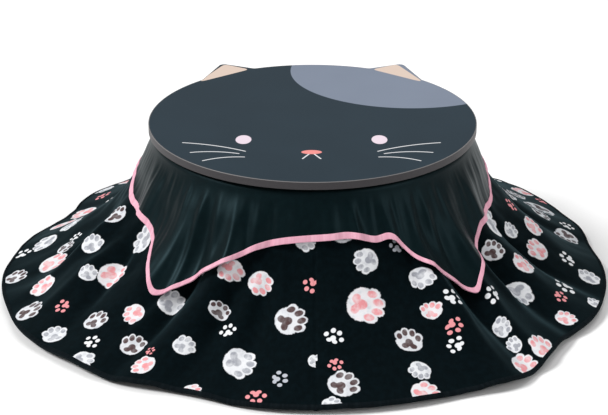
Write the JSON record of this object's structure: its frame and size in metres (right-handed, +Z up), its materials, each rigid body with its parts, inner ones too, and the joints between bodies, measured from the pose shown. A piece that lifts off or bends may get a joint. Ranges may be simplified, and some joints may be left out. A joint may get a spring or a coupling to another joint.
{
  "type": "kotatsu table",
  "caption": "Low round heated table with a cat-head tabletop, a draped square cover and a floor-length quilt over a wooden frame with an electric heater.",
  "frame": {"origin": "on the floor under the table's centre", "axes": "+Z up, -Y towards the front, the side away from the ears, +X to the right seen from the front"},
  "size_m": [1.4418, 1.4418, 0.3849],
  "materials": {
    "frame_wood": "clear satin lacquer",
    "leg_wood": "clear satin lacquer",
    "dowel_wood": "bare",
    "zinc_steel": "zinc plated",
    "foot_rubber": "matte",
    "pan_steel": "galvanised sheet",
    "filter_felt": "felt",
    "reflector_aluminium": "bright",
    "quartz_glass": "frosted quartz",
    "coil_wire": "oxidised heating wire",
    "holder_ceramic": "unglazed",
    "motor_paint": "semi-gloss",
    "thermostat_plastic": "moulded",
    "guard_paint": "powder coat",
    "inlet_plastic": "moulded",
    "pin_brass": "bare",
    "fan_plastic": "moulded",
    "quilt_fabric": "printed flannel",
    "hem_fabric": "folded tape",
    "cover_fabric": "smooth woven polyester",
    "piping_fabric": "satin binding",
    "tabletop_face": "printed laminate on fibreboard, satin",
    "edge_plastic": "edge tape",
    "pad_rubber": "matte"
  },
  "bodies": {
    "kotatsu_frame": {"ring_rail_front": "frame_wood", "ring_rail_right": "frame_wood", "ring_rail_back": "frame_wood", "ring_rail_left": "frame_wood", "leg_block_front_left": "frame_wood", "leg_block_front_right": "frame_wood", "leg_block_back_left": "frame_wood", "leg_block_back_right": "frame_wood", "leg_front_left": "leg_wood", "leg_front_right": "leg_wood", "leg_back_left": "leg_wood", "leg_back_right": "leg_wood", "rail_dowels": "dowel_wood", "leg_bolts": "zinc_steel", "leg_washers": "zinc_steel", "leg_nuts": "zinc_steel", "foot_pads": "foot_rubber", "cross_rail_front": "frame_wood", "cross_rail_back": "frame_wood", "cross_rail_left": "frame_wood", "cross_rail_right": "frame_wood", "rail_screws": "zinc_steel", "heater_pan": "pan_steel", "dust_filter": "filter_felt", "heater_screws": "zinc_steel", "reflector": "reflector_aluminium", "quartz_tubes": "quartz_glass", "heating_coils": "coil_wire", "tube_holders": "holder_ceramic", "motor_bridge": "pan_steel", "fan_motor": "motor_paint", "thermostat": "thermostat_plastic", "heater_guard": "guard_paint", "guard_clips": "zinc_steel", "cord_inlet": "inlet_plastic", "inlet_pins": "pin_brass"},
    "fan": {"fan_rotor": "fan_plastic", "fan_shaft": "zinc_steel"},
    "futon": {"futon_quilt": "quilt_fabric", "futon_hem_binding": "hem_fabric"},
    "cover": {"cover_cloth": "cover_fabric", "cover_piping": "piping_fabric"},
    "tabletop": {"tabletop_board": "tabletop_face", "tabletop_edge_band": "edge_plastic", "tabletop_pads": "pad_rubber"}
  },
  "joints": [
    {"name": "futon_lift", "type": "slide", "parent": "kotatsu_frame", "child": "futon", "axis": [0, 0, 1], "range_m": [0, 0.4]},
    {"name": "cover_lift", "type": "slide", "parent": "futon", "child": "cover", "axis": [0, 0, 1], "range_m": [0, 0.2]},
    {"name": "tabletop_lift", "type": "slide", "parent": "cover", "child": "tabletop", "axis": [0, 0, 1], "range_m": [0, 0.14]},
    {"name": "fan_spin", "type": "hinge", "parent": "kotatsu_frame", "child": "fan", "pos_m": [0, 0, 0.318], "axis": [0, 0, 1], "continuous": true}
  ]
}
